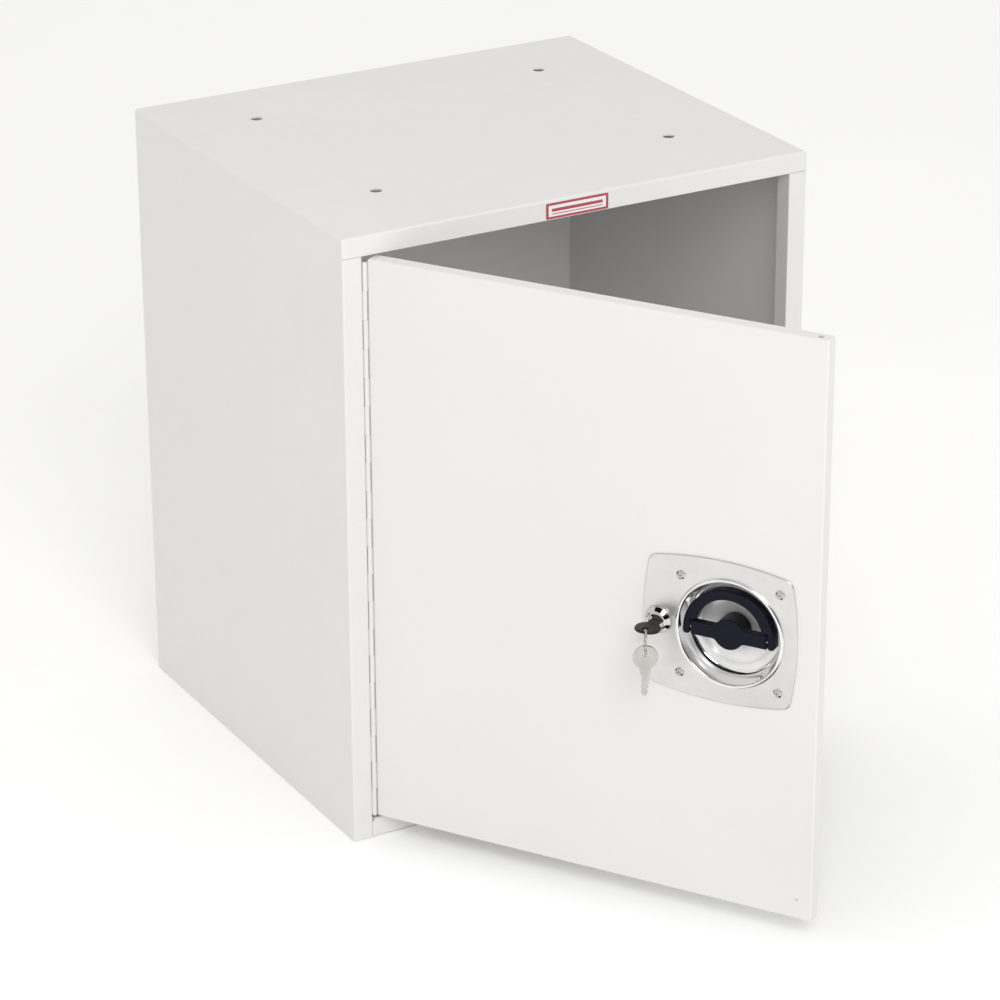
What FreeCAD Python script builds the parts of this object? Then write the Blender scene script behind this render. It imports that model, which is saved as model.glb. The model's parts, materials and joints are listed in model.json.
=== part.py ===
"""Steel locker cabinet with a hinged door, a recessed ring handle, a key lock and two keys.

Millimetres.  The origin is the centre of the underside, +Z is up, the door is on the -Y
side and its hinge is at -X.  Door pieces are drawn in the door's own frame: origin on the
hinge axis, x towards the free edge, y from the front face to the back, z as in the cabinet.
"""
import FreeCAD, Part
import os
import Sketcher
from FreeCAD import Placement, Rotation, Vector

DIMENSIONS = (
    # carcass, 18 x 16 x 22 in
    ("cab_width", 457.2),
    ("cab_depth", 406.4),
    ("cab_height", 558.8),
    ("gauge", 1.5),
    ("frame_face", 18.0),
    ("jamb_depth", 18.0),
    ("rear_lip", 15.0),
    ("fold_top", 3.0),
    ("fold_front", 2.0),
    ("seam_gap", 0.12),
    ("relief_hole", 3.0),
    ("relief_in", 0.6),
    ("relief_down", 1.2),
    ("sill_fold", 1.35),
    ("back_gauge", 1.2),
    # four bolt holes, the same pattern in the top and in the base
    ("bolt_pitch_x", 292.1),
    ("bolt_pitch_y", 228.6),
    ("bolt_centre_y", 7.35),
    ("bolt_hole", 11.1),
    # blank label on the top of the front frame
    ("label_width", 61.0),
    ("label_height", 14.0),
    ("label_gauge", 0.3),
    ("label_centre", -4.5),
    # continuous hinge
    ("hinge_reach", 2.15),
    ("hinge_set", 0.6),
    ("pin_radius", 1.2),
    ("pin_head_over", 0.9),
    ("pin_head_in", 0.3),
    ("bore_radius", 1.25),
    ("knuckle_radius", 1.9),
    ("pin_head", 1.5),
    ("knuckle_pitch", 25.7),
    ("knuckle_gap", 0.15),
    ("leaf_gauge", 0.9),
    ("leaf_front", 2.0),
    ("leaf_back", 12.8),
    ("leaf_low", 22.4),
    ("leaf_length", 514.0),
    # door pan
    ("door_open", 57.1),
    ("door_free_edge", 414.5),
    ("door_low", 21.4),
    ("door_high", 538.8),
    ("door_thick", 12.7),
    ("door_lip", 10.0),
    ("door_fold", 1.6),
    ("drain_hole", 3.0),
    ("drain_from_edge", 13.6),
    ("drain_from_low", 18.3),
    ("hang_hole", 5.0),
    ("hang_from_edge", 9.5),
    # recessed handle
    ("dish_x", 335.5),
    ("dish_z", 270.2),
    ("dish_hole", 46.2),
    ("dish_rim", 48.8),
    ("dish_mouth", 45.0),
    ("dish_foot", 42.8),
    ("dish_bend", 5.0),
    ("dish_step", 33.0),
    ("dish_ramp", 1.0),
    ("dish_gauge", 0.8),
    ("rim_proud", 1.8),
    ("rim_round", 1.35),
    ("floor_depth", 16.0),
    ("step_depth", 15.0),
    ("plate_left", 72.5),
    ("plate_right", 54.5),
    ("plate_half", 57.0),
    ("plate_gauge", 1.5),
    ("plate_corner", 9.0),
    ("plate_bow", 300.0),
    ("plate_edge", 1.0),
    ("screw_pitch", 88.0),
    ("screw_shank", 2.0),
    ("screw_play", 0.2),
    ("screw_head", 3.9),
    ("screw_head_proud", 1.5),
    ("screw_length", 12.0),
    ("screw_slot", 0.9),
    ("screw_slot_reach", 2.15),
    ("screw_slot_depth", 1.2),
    ("screw_crown", 2.35),
    ("screw_shoulder", 0.75),
    ("nut_half", 3.5),
    ("nut_thick", 3.2),
    # turning part of the handle
    ("hub_radius", 13.5),
    ("hub_back", 13.6),
    ("bar_half", 33.5),
    ("bar_height", 12.4),
    ("bar_front", -3.5),
    ("bar_thick", 6.2),
    ("bar_blend", 5.0),
    ("bar_edge", 1.0),
    ("spindle_radius", 4.0),
    ("spindle_bore", 4.05),
    ("spindle_end", 29.5),
    ("bush_radius", 7.0),
    ("bush_head", 9.5),
    ("bush_front", 14.0),
    ("bush_back", 18.4),
    ("cam_front", 19.0),
    ("cam_thick", 3.0),
    ("cam_reach", 81.0),
    ("cam_width", 16.0),
    ("cam_round", 6.4),
    ("cam_boss", 12.0),
    ("washer_radius", 8.0),
    ("washer_thick", 1.0),
    ("cam_nut_half", 6.5),
    ("cam_nut_thick", 4.5),
    # folding ring
    ("ring_half", 41.0),
    ("ring_sink", 2.0),
    ("ring_foot", 6.5),
    ("ring_inner", 30.2),
    ("ring_notch", 34.4),
    ("ring_notch_top", 7.3),
    ("ring_front", -3.2),
    ("ring_thick", 9.0),
    ("ring_pin_y", -0.7),
    ("ring_foot_round", 3.0),
    ("ring_edge", 1.2),
    ("ring_pin_radius", 1.5),
    ("ring_pin_bore", 1.55),
    ("ring_pin_in", 28.5),
    ("ring_pin_out", 39.8),
    # key lock
    ("lock_x", 272.0),
    ("lock_z", 270.3),
    ("lock_hole", 9.5),
    ("lock_barrel", 9.4),
    ("lock_collar", 12.0),
    ("lock_face", 9.6),
    ("lock_proud", 6.5),
    ("lock_skirt", 2.2),
    ("lock_dome", 2.0),
    ("lock_back", 17.6),
    ("plug_radius", 6.0),
    ("plug_bore", 6.05),
    ("plug_front", -6.4),
    ("plug_back", 18.6),
    ("plug_tail", 20.6),
    ("keyway_width", 8.0),
    ("keyway_height", 2.3),
    ("keyway_end", 14.0),
    ("lock_nut_half", 12.0),
    ("lock_nut_thick", 3.0),
    ("lock_cam_reach", 47.8),
    ("lock_cam_width", 12.0),
    ("lock_cam_round", 4.8),
    ("cam_square", 3.2),
    ("tail_screw_head", 4.6),
    ("tail_screw_thick", 2.4),
    ("tail_slot_depth", 1.2),
    # keys and split ring
    ("neck_width", 9.0),
    ("neck_near", -7.0),
    ("blade_width", 7.6),
    ("blade_thick", 2.0),
    ("blade_end", 12.0),
    ("cut_depth", 2.2),
    ("cut_pitch", 3.0),
    ("bow_near", -12.0),
    ("bow_far", -31.0),
    ("bow_width", 22.0),
    ("bow_thick", 2.6),
    ("bow_edge", 1.1),
    ("bow_corner", 9.0),
    ("bow_hole", 3.3),
    ("bow_hole_y", -26.2),
    ("split_radius", 9.9),
    ("split_wire", 0.6),
    ("split_out", 7.2),
    ("split_drop", 6.8),
    ("split_turn", 28.0),
    ("spare_bow", 10.4),
    ("spare_thick", 2.0),
    ("spare_hole", 2.0),
    ("spare_gap", 0.35),
    ("spare_rim", 5.5),
    ("spare_length", 44.6),
    ("spare_blade", 6.0),
    ("spare_shoulder", 1.5),
    ("spare_shoulder_from_tip", 20.0),
    # strike and its rubber pad, on the right jamb
    ("strike_half", 30.0),
    ("strike_fold", 1.2),
    ("strike_reach", 12.0),
    ("strike_back", 18.7),
    ("strike_front", 3.0),
    ("pad_half", 22.0),
    ("pad_thick", 3.5),
    ("pad_width", 8.0),
    ("pad_inset", 1.0),
)

KNUCKLES = 20
TINY = 1e-6
SAME_PLACE = 1e-3
LONG_EDGE = 100.0
# Key cuts from the tip: share of the cut's depth, and pitches back from the tip.
BLADE_CUTS = ((0.0, 3.0), (0.8, 2.5), (0.3, 2.0), (1.0, 1.5), (0.5, 1.0))
SPARE_CUTS = ((1.0, 0.0), (0.3, 1.0), (0.8, 1.7), (0.2, 2.4), (0.6, 3.1), (0.0, 3.8))

doc = FreeCAD.newDocument("locker_cabinet")
sheet = doc.addObject("Spreadsheet::Sheet", "dim")
for row, (alias, size) in enumerate(DIMENSIONS, start=1):
    sheet.set(f"A{row}", alias)
    sheet.set(f"B{row}", str(size))
    sheet.setAlias(f"B{row}", alias)
doc.recompute()

nodes = []

HALF_W = "dim.cab_width/2"
HALF_D = "dim.cab_depth/2"
OPEN_X = "(dim.cab_width/2-dim.frame_face)"
OPEN_LOW = "dim.frame_face"
OPEN_HIGH = "(dim.cab_height-dim.frame_face)"
HINGE_X = "(-dim.cab_width/2+dim.frame_face+dim.hinge_reach)"
HINGE_Y = "(-dim.cab_depth/2-dim.hinge_set)"
SKIN = "dim.hinge_set"
SKIN_BACK = "(dim.hinge_set+dim.gauge)"
DOOR_BACK = "(dim.hinge_set+dim.door_thick)"
PLATE_FRONT = "(dim.hinge_set-dim.plate_gauge)"
SCREW_HOLE = "(dim.screw_shank+dim.screw_play)"
CLEAR = "1"


def size(expression):
    """The value of an expression over the sheet's cells."""
    return float(sheet.evalExpression(expression))


def bind(thing, **expressions):
    """Bind properties to expressions; a double underscore stands for a dot."""
    for name, expression in expressions.items():
        thing.setExpression(name.replace("__", "."), expression)


def on_door(thing):
    """Put a piece drawn in the door's frame where the open door is."""
    thing.Placement = Placement(Vector(), Rotation(Vector(0, 0, -1), 1))
    bind(thing, Placement__Base__x=HINGE_X, Placement__Base__y=HINGE_Y,
         Placement__Rotation__Angle="dim.door_open")


def on_hinge_axis(thing):
    """Put a piece drawn from the hinge axis there, unturned."""
    bind(thing, Placement__Base__x=HINGE_X, Placement__Base__y=HINGE_Y)


def node(thing, name, place=None):
    """Name a finished piece and place it."""
    thing.Label = name
    if place:
        place(thing)
    nodes.append(thing)
    return thing


def new_body(name):
    return doc.addObject("PartDesign::Body", f"{name}_body")


def sketch(body, role, level="0", along="0", up="0"):
    """A sketch on one of the body's origin planes, moved to a level along its axis.

    XZ sketches look along +Y, so their local z is reversed; YZ sketches run y, z.
    """
    sk = body.newObject("Sketcher::SketchObject", f"{body.Name}_sketch")
    plane = [item for item in body.Origin.OriginFeatures if item.Role == role][0]
    sk.AttachmentSupport = (plane, [""])
    sk.MapMode = "FlatFace"
    lift = f"-({level})" if role == "XZ_Plane" else level
    bind(sk, AttachmentOffset__Base__x=along, AttachmentOffset__Base__y=up,
         AttachmentOffset__Base__z=lift)
    doc.recompute()
    return sk


def pin_point(sk, geometry, position, x, y):
    """Hold a point of a sketch at two expressions."""
    for kind, expression, axis in (("DistanceX", x, -2), ("DistanceY", y, -1)):
        value = size(expression)
        if abs(value) < TINY:
            sk.addConstraint(Sketcher.Constraint("PointOnObject", geometry, position, axis))
            continue
        index = sk.addConstraint(
            Sketcher.Constraint(kind, -1, 1, geometry, position, value))
        sk.setExpression(f"Constraints[{index}]", expression)


def outline(sk, points):
    """A closed polygon whose corners are held at expressions."""
    corners = [Vector(size(x), size(y), 0) for x, y in points]
    first = sk.GeometryCount
    count = len(points)
    for i in range(count):
        sk.addGeometry(Part.LineSegment(corners[i], corners[(i + 1) % count]), False)
    for i in range(count):
        after = first + (i + 1) % count
        sk.addConstraint(Sketcher.Constraint("Coincident", first + i, 2, after, 1))
    for i, (x, y) in enumerate(points):
        pin_point(sk, first + i, 1, x, y)


def rectangle(sk, left, low, right, high):
    outline(sk, ((left, low), (right, low), (right, high), (left, high)))


def circle(sk, x, y, radius):
    middle = Vector(size(x), size(y), 0)
    index = sk.addGeometry(Part.Circle(middle, Vector(0, 0, 1), size(radius)), False)
    pin_point(sk, index, 3, x, y)
    held = sk.addConstraint(Sketcher.Constraint("Radius", index, size(radius)))
    sk.setExpression(f"Constraints[{held}]", radius)


def bowed(sk, points, radius):
    """A closed outline of outward-bowed arcs between corners held at expressions."""
    corners = [Vector(size(x), size(y), 0) for x, y in points]
    count = len(points)
    for i in range(count):
        start, end = corners[i], corners[(i + 1) % count]
        chord = end - start
        half = chord.Length / 2
        outward = Vector(chord.y, -chord.x, 0).normalize()
        reach = (size(radius) ** 2 - half ** 2) ** 0.5
        crown = (start + end) / 2 + outward * (size(radius) - reach)
        sk.addGeometry(Part.ArcOfCircle(start, crown, end), False)
    for i in range(count):
        sk.addConstraint(Sketcher.Constraint("Coincident", i, 2, (i + 1) % count, 1))
        held = sk.addConstraint(Sketcher.Constraint("Radius", i, size(radius)))
        sk.setExpression(f"Constraints[{held}]", radius)
    for i, (x, y) in enumerate(points):
        pin_point(sk, i, 1, x, y)


def raised(body, sk, length, forward=True):
    """Pad a sketch towards +axis, or towards -axis when forward is False."""
    pad = body.newObject("PartDesign::Pad", f"{body.Name}_pad")
    pad.Profile = sk
    pad.Reversed = forward == ("XZ_Plane" in support_role(sk))
    bind(pad, Length=length)
    doc.recompute()
    return pad


def cut(body, sk, length, forward=True):
    """Pocket a sketch towards +axis, or towards -axis when forward is False."""
    before = body.Shape.Volume
    pocket = body.newObject("PartDesign::Pocket", f"{body.Name}_pocket")
    pocket.Profile = sk
    pocket.Reversed = forward != ("XZ_Plane" in support_role(sk))
    bind(pocket, Length=length)
    doc.recompute()
    if body.Shape.Volume > before - TINY:
        raise RuntimeError(f"{body.Name}: a pocket removes nothing")
    return pocket


def support_role(sk):
    return sk.AttachmentSupport[0][0].Role


def sound(body):
    """Stop when the latest feature of a body has failed."""
    if "Invalid" in body.Tip.State or not body.Tip.Shape.isValid():
        raise RuntimeError(f"{body.Tip.Name} failed")


def turned(body, sk):
    """Revolve a YZ sketch about its own horizontal axis, which runs along y."""
    spin = body.newObject("PartDesign::Revolution", f"{body.Name}_turn")
    spin.Profile = sk
    spin.ReferenceAxis = (sk, ["H_Axis"])
    spin.Angle = 360
    doc.recompute()
    return spin


def rounded(body, radius, chosen):
    """Fillet the edges of the body's latest feature that the test picks."""
    base = body.Tip
    names = [f"Edge{i}" for i, edge in enumerate(base.Shape.Edges, start=1) if chosen(edge)]
    if not names:
        raise RuntimeError(f"{body.Name}: no edge to round")
    fillet = body.newObject("PartDesign::Fillet", f"{body.Name}_fillet")
    fillet.Base = (base, names)
    bind(fillet, Radius=radius)
    doc.recompute()
    sound(body)
    return fillet


def straight(edge, direction, length=0.0):
    """True for a straight edge along a direction, at least so long."""
    if edge.Curve.TypeId != "Part::GeomLine" or edge.Length < length:
        return False
    return abs(abs(edge.Curve.Direction.dot(Vector(*direction))) - 1) < TINY


def at(edge, **where):
    """True when the edge's whole box sits at the given coordinates."""
    box = edge.BoundBox
    for axis, expression in where.items():
        low = getattr(box, f"{axis.upper()}Min")
        high = getattr(box, f"{axis.upper()}Max")
        value = size(expression)
        if abs(low - value) > SAME_PLACE or abs(high - value) > SAME_PLACE:
            return False
    return True


def round_edge(edge, radius):
    """True for a circular edge of the given radius."""
    if edge.Curve.TypeId != "Part::GeomCircle":
        return False
    return abs(edge.Curve.Radius - size(radius)) < SAME_PLACE


def bolt_pattern(sk):
    """The four mounting holes."""
    for x in ("-dim.bolt_pitch_x/2", "dim.bolt_pitch_x/2"):
        for y in ("dim.bolt_centre_y-dim.bolt_pitch_y/2", "dim.bolt_centre_y+dim.bolt_pitch_y/2"):
            circle(sk, x, y, "dim.bolt_hole/2")


# ---------------------------------------------------------------- carcass

def shell_wrapper():
    """Left side, top and right side folded from one sheet, with the front frame."""
    body = new_body("shell_wrapper")
    block = sketch(body, "XY_Plane")
    rectangle(block, f"-{HALF_W}", f"-{HALF_D}", HALF_W, HALF_D)
    raised(body, block, "dim.cab_height")
    rounded(body, "dim.fold_top", lambda e: straight(e, (0, 1, 0)) and at(e, z="dim.cab_height"))

    def front_or_rear(edge):
        on_face = at(edge, y=f"-{HALF_D}") or at(edge, y=HALF_D)
        return on_face and not at(edge, z="0")
    rounded(body, "dim.fold_front", front_or_rear)
    inside = sketch(body, "XY_Plane")
    rectangle(inside, f"-{HALF_W}+dim.gauge", f"-{HALF_D}+dim.gauge",
              f"{HALF_W}-dim.gauge", f"{HALF_D}-dim.gauge")
    cut(body, inside, "dim.cab_height-dim.gauge")
    doorway = sketch(body, "XZ_Plane", f"-{HALF_D}")
    rectangle(doorway, f"-{OPEN_X}", "0", OPEN_X, OPEN_HIGH)
    cut(body, doorway, "dim.gauge")
    rear = sketch(body, "XZ_Plane", f"{HALF_D}-dim.gauge")
    rectangle(rear, f"-{HALF_W}+dim.rear_lip", "0", f"{HALF_W}-dim.rear_lip",
              "dim.cab_height-dim.rear_lip")
    cut(body, rear, "dim.gauge")
    for side in ("-", ""):
        jamb = sketch(body, "XZ_Plane", f"-{HALF_D}+dim.gauge/2")
        near, far = f"{side}{OPEN_X}", f"{side}({OPEN_X}+dim.gauge)"
        if side:
            near, far = far, near
        rectangle(jamb, near, "dim.gauge", far, f"{OPEN_HIGH}-dim.seam_gap")
        raised(body, jamb, "dim.jamb_depth-dim.gauge/2")
    head = sketch(body, "XZ_Plane", f"-{HALF_D}+dim.gauge/2")
    rectangle(head, f"-{OPEN_X}", OPEN_HIGH, OPEN_X, f"{OPEN_HIGH}+dim.gauge")
    raised(body, head, "dim.jamb_depth-dim.gauge/2")
    for left, right in ((f"-{HALF_W}", f"-{OPEN_X}"), (OPEN_X, HALF_W)):
        seam = sketch(body, "XZ_Plane", f"-{HALF_D}")
        rectangle(seam, left, f"{OPEN_HIGH}-dim.seam_gap", right, OPEN_HIGH)
        cut(body, seam, "dim.gauge")
    holes = sketch(body, "XY_Plane", "dim.cab_height")
    bolt_pattern(holes)
    cut(body, holes, "dim.gauge", forward=False)

    def opening_edge(edge):
        if not at(edge, y=f"-{HALF_D}"):
            return False
        upright = at(edge, x=OPEN_X) or at(edge, x=f"-{OPEN_X}")
        return (upright and edge.Length > size("dim.cab_width")) or (
            at(edge, z=OPEN_HIGH) and edge.Length > size("dim.cab_width/2"))
    rounded(body, "dim.gauge/2", opening_edge)
    node(body, "shell_wrapper")


def base_pan():
    """Floor of the cabinet: a pan between the sides, with the sill of the front frame."""
    body = new_body("base_pan")
    inner_x = f"({HALF_W}-dim.gauge)"
    floor = sketch(body, "XY_Plane")
    outline(floor, (
        (f"-{OPEN_X}", f"-{HALF_D}"), (OPEN_X, f"-{HALF_D}"),
        (OPEN_X, f"-{HALF_D}+dim.gauge"), (inner_x, f"-{HALF_D}+dim.gauge"),
        (inner_x, f"{HALF_D}-dim.gauge"), (f"-{inner_x}", f"{HALF_D}-dim.gauge"),
        (f"-{inner_x}", f"-{HALF_D}+dim.gauge"), (f"-{OPEN_X}", f"-{HALF_D}+dim.gauge")))
    raised(body, floor, "dim.gauge")
    sill = sketch(body, "XZ_Plane", f"-{HALF_D}")
    rectangle(sill, f"-{OPEN_X}", "0", OPEN_X, OPEN_LOW)
    raised(body, sill, "dim.gauge")
    ledge = sketch(body, "XZ_Plane", f"-{HALF_D}+dim.gauge/2")
    rectangle(ledge, f"-{OPEN_X}", f"{OPEN_LOW}-dim.gauge", OPEN_X, OPEN_LOW)
    raised(body, ledge, "dim.jamb_depth-dim.gauge/2")
    for side in ("-", ""):
        upstand = sketch(body, "YZ_Plane", f"{side}{inner_x}")
        rectangle(upstand, f"-{HALF_D}+dim.jamb_depth+2*dim.gauge", "0",
                  f"{HALF_D}-dim.gauge-dim.back_gauge", "dim.rear_lip")
        raised(body, upstand, "dim.gauge", forward=bool(side))
    rear = sketch(body, "XZ_Plane", f"{HALF_D}-2*dim.gauge-dim.back_gauge")
    rectangle(rear, f"-{inner_x}", "0", inner_x, "dim.rear_lip")
    raised(body, rear, "dim.gauge")
    holes = sketch(body, "XY_Plane")
    bolt_pattern(holes)
    cut(body, holes, "dim.gauge")
    relief = sketch(body, "XZ_Plane", f"-{HALF_D}")
    for side in ("-", ""):
        circle(relief, f"{side}({OPEN_X}-dim.relief_in)", f"{OPEN_LOW}-dim.relief_down",
               "dim.relief_hole/2")
    cut(body, relief, "dim.gauge")
    rounded(body, "dim.sill_fold",
            lambda e: straight(e, (1, 0, 0), LONG_EDGE) and at(e, y=f"-{HALF_D}", z="0"))
    node(body, "base_pan")


def back_panel():
    """Flat sheet behind, held inside the rear lips."""
    body = new_body("back_panel")
    face = sketch(body, "XZ_Plane", f"{HALF_D}-dim.gauge-dim.back_gauge")
    rectangle(face, f"-{HALF_W}+dim.gauge", "dim.gauge", f"{HALF_W}-dim.gauge",
              "dim.cab_height-dim.gauge")
    raised(body, face, "dim.back_gauge")
    node(body, "back_panel")


def label_plate():
    """Plain label with no lettering, stuck on the head of the front frame."""
    body = new_body("label_plate")
    face = sketch(body, "XZ_Plane", f"-{HALF_D}")
    middle = f"({OPEN_HIGH}+dim.cab_height-dim.fold_front)/2"
    rectangle(face, "dim.label_centre-dim.label_width/2", f"{middle}-dim.label_height/2",
              "dim.label_centre+dim.label_width/2", f"{middle}+dim.label_height/2")
    raised(body, face, "dim.label_gauge", forward=False)
    rounded(body, "dim.label_gauge*3", lambda e: straight(e, (0, 1, 0)))
    node(body, "label_plate")


def strike_bracket():
    """Angle on the right jamb that the latch cam hooks behind."""
    body = new_body("strike_bracket")
    plan = sketch(body, "XY_Plane", "dim.dish_z-dim.strike_half")
    back = f"({HINGE_Y}+dim.strike_back)"
    front = f"({HINGE_Y}+dim.strike_front)"
    outline(plan, (
        (OPEN_X, front), (OPEN_X, back), (f"{OPEN_X}-dim.strike_reach", back),
        (f"{OPEN_X}-dim.strike_reach", f"{back}-dim.gauge"),
        (f"{OPEN_X}-dim.gauge", f"{back}-dim.gauge"), (f"{OPEN_X}-dim.gauge", front)))
    raised(body, plan, "2*dim.strike_half")
    rounded(body, "dim.strike_fold",
            lambda e: straight(e, (0, 0, 1)) and at(e, x=OPEN_X, y=back))
    node(body, "strike_bracket")


def strike_pad():
    """Rubber pad that the closed door rests against."""
    body = new_body("strike_pad")
    face = sketch(body, "XZ_Plane", f"{HINGE_Y}+dim.strike_back-dim.gauge")
    left = f"{OPEN_X}-dim.strike_reach+dim.pad_inset"
    rectangle(face, left, "dim.dish_z-dim.pad_half", f"{left}+dim.pad_width",
              "dim.dish_z+dim.pad_half")
    raised(body, face, "dim.pad_thick", forward=False)
    rounded(body, "dim.pad_thick/3",
            lambda e: at(e, y=f"{HINGE_Y}+dim.strike_back-dim.gauge-dim.pad_thick"))
    node(body, "strike_pad")


# ---------------------------------------------------------------- hinge

def cylinder(name, radius, length, x="0", y="0", z="0", axis=(0, 0, 1)):
    """A primitive cylinder from a point along an axis."""
    rod = doc.addObject("Part::Cylinder", name)
    bind(rod, Radius=radius, Height=length)
    rod.Placement = Placement(Vector(), Rotation(Vector(0, 0, 1), Vector(*axis)))
    bind(rod, Placement__Base__x=x, Placement__Base__y=y, Placement__Base__z=z)
    return rod


def cuboid(name, x, y, z, length, width, height):
    """A primitive box from its lowest corner."""
    box = doc.addObject("Part::Box", name)
    bind(box, Length=length, Width=width, Height=height)
    bind(box, Placement__Base__x=x, Placement__Base__y=y, Placement__Base__z=z)
    return box


def fused(name, parts):
    joined = doc.addObject("Part::MultiFuse", name)
    joined.Shapes = parts
    return joined


def less(name, base, tool):
    result = doc.addObject("Part::Cut", name)
    result.Base = base
    result.Tool = tool
    return result


def hinge_leaf(name, first, side, place):
    """One leaf of the continuous hinge: a strip with every other knuckle rolled on it."""
    inner = "dim.hinge_reach-dim.leaf_gauge" if side > 0 else "-dim.hinge_reach"
    strip = cuboid(f"{name}_strip", inner, "dim.leaf_front", "dim.leaf_low",
                   "dim.leaf_gauge", "dim.leaf_back-dim.leaf_front", "dim.leaf_length")
    pieces = [strip]
    for i in range(first, KNUCKLES, 2):
        low = f"dim.leaf_low+{i}*dim.knuckle_pitch+dim.knuckle_gap/2"
        length = "dim.knuckle_pitch-dim.knuckle_gap"
        pieces.append(cylinder(f"{name}_knuckle", "dim.knuckle_radius", length, z=low))
        pieces.append(cuboid(f"{name}_tongue", inner, "0", low, "dim.leaf_gauge",
                             "dim.leaf_front", length))
    bore = cylinder(f"{name}_bore", "dim.bore_radius", f"dim.leaf_length+2*{CLEAR}",
                    z=f"dim.leaf_low-{CLEAR}")
    node(less(name, fused(f"{name}_solid", pieces), bore), name, place)


def hinge_pin():
    """Pin through all the knuckles, with a small upset head at each end."""
    over, inset = "dim.pin_head_over", "dim.pin_head_in"
    rod = cylinder("hinge_pin_rod", "dim.pin_radius", f"dim.leaf_length+{over}+{inset}",
                   z=f"dim.leaf_low-({over}+{inset})/2")
    foot = cylinder("hinge_pin_foot", "dim.pin_head", f"{over}-{inset}", z=f"dim.leaf_low-{over}")
    head = cylinder("hinge_pin_head", "dim.pin_head", f"{over}-{inset}",
                    z=f"dim.leaf_low+dim.leaf_length+{inset}")
    node(fused("hinge_pin_solid", [rod, foot, head]), "hinge_pin", on_hinge_axis)


# ---------------------------------------------------------------- door

def door_pan():
    """Door skin folded back on four sides, with a lip round the back."""
    body = new_body("door_pan")
    near, far = "dim.hinge_reach", "dim.door_free_edge"
    low, high = "dim.door_low", "dim.door_high"
    block = sketch(body, "XZ_Plane", SKIN)
    rectangle(block, near, low, far, high)
    raised(body, block, "dim.door_thick")
    rounded(body, "dim.door_fold", lambda e: at(e, y=SKIN) or straight(e, (0, 1, 0)))
    cavity = sketch(body, "XZ_Plane", SKIN_BACK)
    rectangle(cavity, f"{near}+dim.gauge", f"{low}+dim.gauge", f"{far}-dim.gauge",
              f"{high}-dim.gauge")
    cut(body, cavity, "dim.door_thick-2*dim.gauge")
    window = sketch(body, "XZ_Plane", f"{DOOR_BACK}-dim.gauge")
    rectangle(window, f"{near}+dim.door_lip", f"{low}+dim.door_lip", f"{far}-dim.door_lip",
              f"{high}-dim.door_lip")
    cut(body, window, "dim.gauge")
    holes = sketch(body, "XZ_Plane", SKIN)
    circle(holes, "dim.dish_x", "dim.dish_z", "dim.dish_hole")
    circle(holes, "dim.lock_x", "dim.lock_z", "dim.lock_hole")
    circle(holes, "dim.door_free_edge-dim.drain_from_edge", "dim.door_low+dim.drain_from_low",
           "dim.drain_hole/2")
    for x, z in screw_centres():
        circle(holes, x, z, SCREW_HOLE)
    cut(body, holes, "dim.gauge")
    hanging = sketch(body, "XY_Plane", "dim.door_high")
    circle(hanging, "dim.door_free_edge-dim.hang_from_edge", f"({SKIN}+{DOOR_BACK})/2",
           "dim.hang_hole/2")
    cut(body, hanging, "dim.gauge", forward=False)
    node(body, "door_pan", on_door)


def screw_centres():
    """The four plate screws, square about the dish."""
    return [(f"dim.dish_x{a}dim.screw_pitch/2", f"dim.dish_z{b}dim.screw_pitch/2")
            for a in "-+" for b in "-+"]


def handle_plate():
    """Pillow-shaped cover plate round the dish and the lock."""
    body = new_body("handle_plate")
    left, right = "dim.dish_x-dim.plate_left", "dim.dish_x+dim.plate_right"
    low, high = "dim.dish_z-dim.plate_half", "dim.dish_z+dim.plate_half"
    face = sketch(body, "XZ_Plane", PLATE_FRONT)
    bowed(face, ((left, low), (right, low), (right, high), (left, high)), "dim.plate_bow")
    raised(body, face, "dim.plate_gauge")
    rounded(body, "dim.plate_corner", lambda e: straight(e, (0, 1, 0)))
    rounded(body, "dim.plate_edge", lambda e: at(e, y=PLATE_FRONT))
    holes = sketch(body, "XZ_Plane", PLATE_FRONT)
    circle(holes, "dim.dish_x", "dim.dish_z", "dim.dish_hole")
    circle(holes, "dim.lock_x", "dim.lock_z", "dim.lock_hole")
    for x, z in screw_centres():
        circle(holes, x, z, SCREW_HOLE)
    cut(body, holes, "dim.plate_gauge")
    node(body, "handle_plate", on_door)


def axis_sketch(body, x, z):
    """A YZ sketch whose horizontal axis runs along y through a point of the door."""
    return sketch(body, "YZ_Plane", x, along="0", up=z)


def handle_dish():
    """Round drawn dish with a rolled rim and a stepped floor."""
    body = new_body("handle_dish")
    half = axis_sketch(body, "dim.dish_x", "dim.dish_z")
    wall = "dim.dish_gauge"
    ramp = "(dim.dish_step-dim.dish_ramp)"
    outline(half, (
        (PLATE_FRONT, "dim.dish_rim"),
        (f"{PLATE_FRONT}-dim.rim_proud", "dim.dish_rim"),
        (f"{PLATE_FRONT}-dim.rim_proud", "dim.dish_mouth"),
        ("dim.floor_depth", "dim.dish_foot"),
        ("dim.floor_depth", "dim.dish_step"),
        ("dim.step_depth", ramp),
        ("dim.step_depth", "dim.bush_radius"),
        (f"dim.step_depth+{wall}", "dim.bush_radius"),
        (f"dim.step_depth+{wall}", ramp),
        (f"dim.floor_depth+{wall}", "dim.dish_step"),
        (f"dim.floor_depth+{wall}", f"dim.dish_foot+{wall}"),
        (PLATE_FRONT, f"dim.dish_mouth+{wall}")))
    turned(body, half)
    rounded(body, "dim.rim_round", lambda e: at(e, y=f"{PLATE_FRONT}-dim.rim_proud"))
    rounded(body, "dim.dish_bend", lambda e: round_edge(e, "dim.dish_foot"))
    rounded(body, f"dim.dish_bend+{wall}", lambda e: round_edge(e, f"dim.dish_foot+{wall}"))
    node(body, "handle_dish", on_door)


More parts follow.
